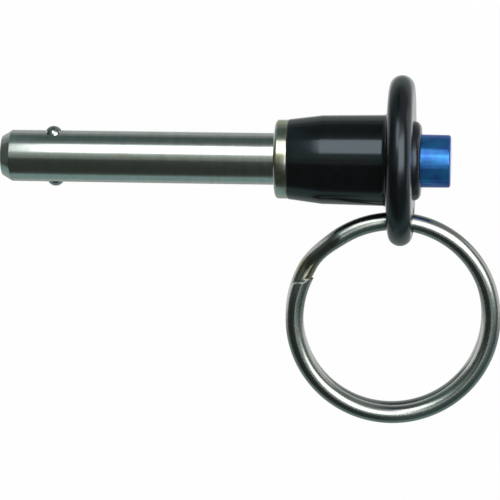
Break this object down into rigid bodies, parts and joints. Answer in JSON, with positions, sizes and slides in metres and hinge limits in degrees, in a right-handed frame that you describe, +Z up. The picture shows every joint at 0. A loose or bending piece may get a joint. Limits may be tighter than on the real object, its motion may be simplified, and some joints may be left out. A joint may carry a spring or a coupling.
{
  "type": "ball lock pin",
  "caption": "Quick-release ball lock pin: plain steel shank with locking balls, black flanged handle, blue push button and a split ring through the flange.",
  "frame": {"origin": "on the pin's axis, at the bearing face of the shoulder that stops against the clamped part", "axes": "+X along the pin's axis from the tip towards the button, +Z up, the split ring hangs towards -Z"},
  "size_m": [0.0966, 0.0326, 0.0679],
  "materials": {
    "shank_steel": "fine turned stainless steel",
    "ball_steel": "polished hardened steel",
    "spindle_steel": "ground stainless steel",
    "spring_steel": "drawn spring wire",
    "black_anodised": "black anodised, satin",
    "black_collar": "black anodised, matt",
    "blue_anodised": "blue anodised, bright",
    "ring_steel": "bright drawn stainless wire"
  },
  "bodies": {
    "pin_body": {"shank": "shank_steel", "handle": "black_anodised", "retaining_collar": "black_collar", "return_spring": "spring_steel"},
    "plunger": {"button": "blue_anodised", "spindle": "spindle_steel", "button_pin": "spring_steel"},
    "upper_ball": {"ball_upper": "ball_steel"},
    "lower_ball": {"ball_lower": "ball_steel"},
    "ring": {"split_ring": "ring_steel"}
  },
  "joints": [
    {"name": "button_press", "type": "slide", "parent": "pin_body", "child": "plunger", "axis": [-1, 0, 0], "range_m": [0, 0.0045], "stiffness_N_per_m": 1200, "springref_m": -0.004, "deforming": ["return_spring"]},
    {"name": "upper_ball_slide", "type": "slide", "parent": "pin_body", "child": "upper_ball", "axis": [0, 0.1908, -0.9816], "range_m": [0, 0.00116]},
    {"name": "lower_ball_slide", "type": "slide", "parent": "pin_body", "child": "lower_ball", "axis": [0, -0.1908, 0.9816], "range_m": [0, 0.00116]},
    {"name": "ring_swing", "type": "hinge", "parent": "pin_body", "child": "ring", "pos_m": [0.02405, 0, -0.01175], "axis": [1, 0, 0], "range_deg": [-102, 112]}
  ],
  "couplings": [
    {"joint": "upper_ball_slide", "follows": "button_press", "ratio": 0.25556},
    {"joint": "lower_ball_slide", "follows": "button_press", "ratio": 0.25556}
  ]
}
